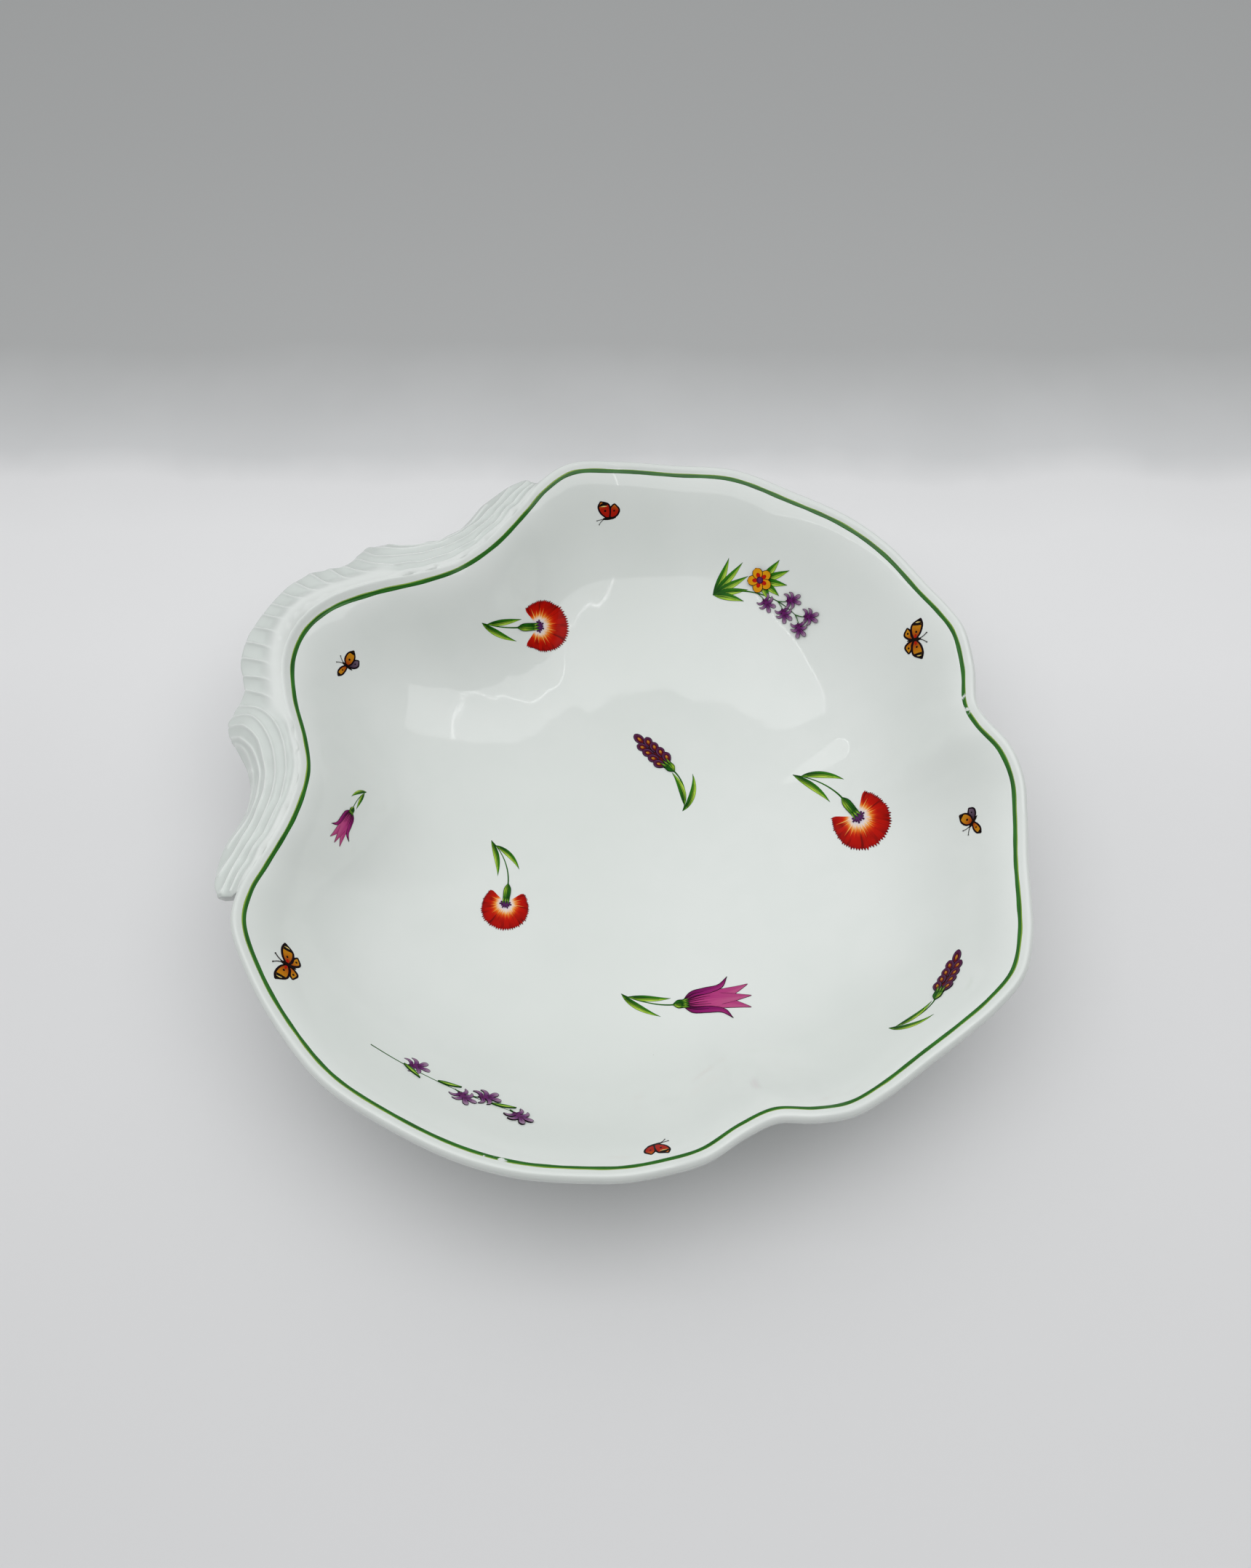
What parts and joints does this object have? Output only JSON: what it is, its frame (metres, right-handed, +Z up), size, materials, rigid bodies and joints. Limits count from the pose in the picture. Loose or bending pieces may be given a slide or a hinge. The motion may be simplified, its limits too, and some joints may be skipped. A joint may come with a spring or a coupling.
{
  "type": "shell-handled serving bowl",
  "caption": "Lobed porcelain serving bowl with a fluted shell handle, a green rim line, floral transfers inside and a foot ring.",
  "frame": {"origin": "on the table, under the middle of the whole object's outline", "axes": "+Z up out of the bowl, +Y from the middle towards the shell handle, +X towards the bowl's right side"},
  "size_m": [0.27, 0.282, 0.0596],
  "materials": {
    "white_glaze": "glossy clear glaze over cool white porcelain",
    "bare_porcelain": "matt, wiped free of glaze where it meets the table",
    "green_enamel": "glossy overglaze enamel, slightly worn",
    "carnation_enamel": "glossy overglaze transfer",
    "bellflower_enamel": "glossy overglaze transfer",
    "hyacinth_enamel": "glossy overglaze transfer",
    "violet_enamel": "glossy overglaze transfer",
    "bouquet_enamel": "glossy overglaze transfer",
    "butterfly_enamel": "glossy overglaze transfer"
  },
  "bodies": {
    "root": {"bowl_body": "white_glaze", "shell_handle": "white_glaze", "foot_ring": "bare_porcelain", "green_rim_line": "green_enamel", "transfer_carnation_back": "carnation_enamel", "transfer_carnation_right": "carnation_enamel", "transfer_carnation_left": "carnation_enamel", "transfer_bellflower_front": "bellflower_enamel", "transfer_bellflower_back": "bellflower_enamel", "transfer_hyacinth_middle": "hyacinth_enamel", "transfer_hyacinth_front": "hyacinth_enamel", "transfer_violets_left": "violet_enamel", "transfer_bouquet_right": "bouquet_enamel", "transfer_butterfly_back_right": "butterfly_enamel", "transfer_butterfly_right": "butterfly_enamel", "transfer_butterfly_handle": "butterfly_enamel", "transfer_butterfly_front_right": "butterfly_enamel", "transfer_butterfly_back_left": "butterfly_enamel", "transfer_butterfly_front_left": "butterfly_enamel"}
  },
  "joints": []
}
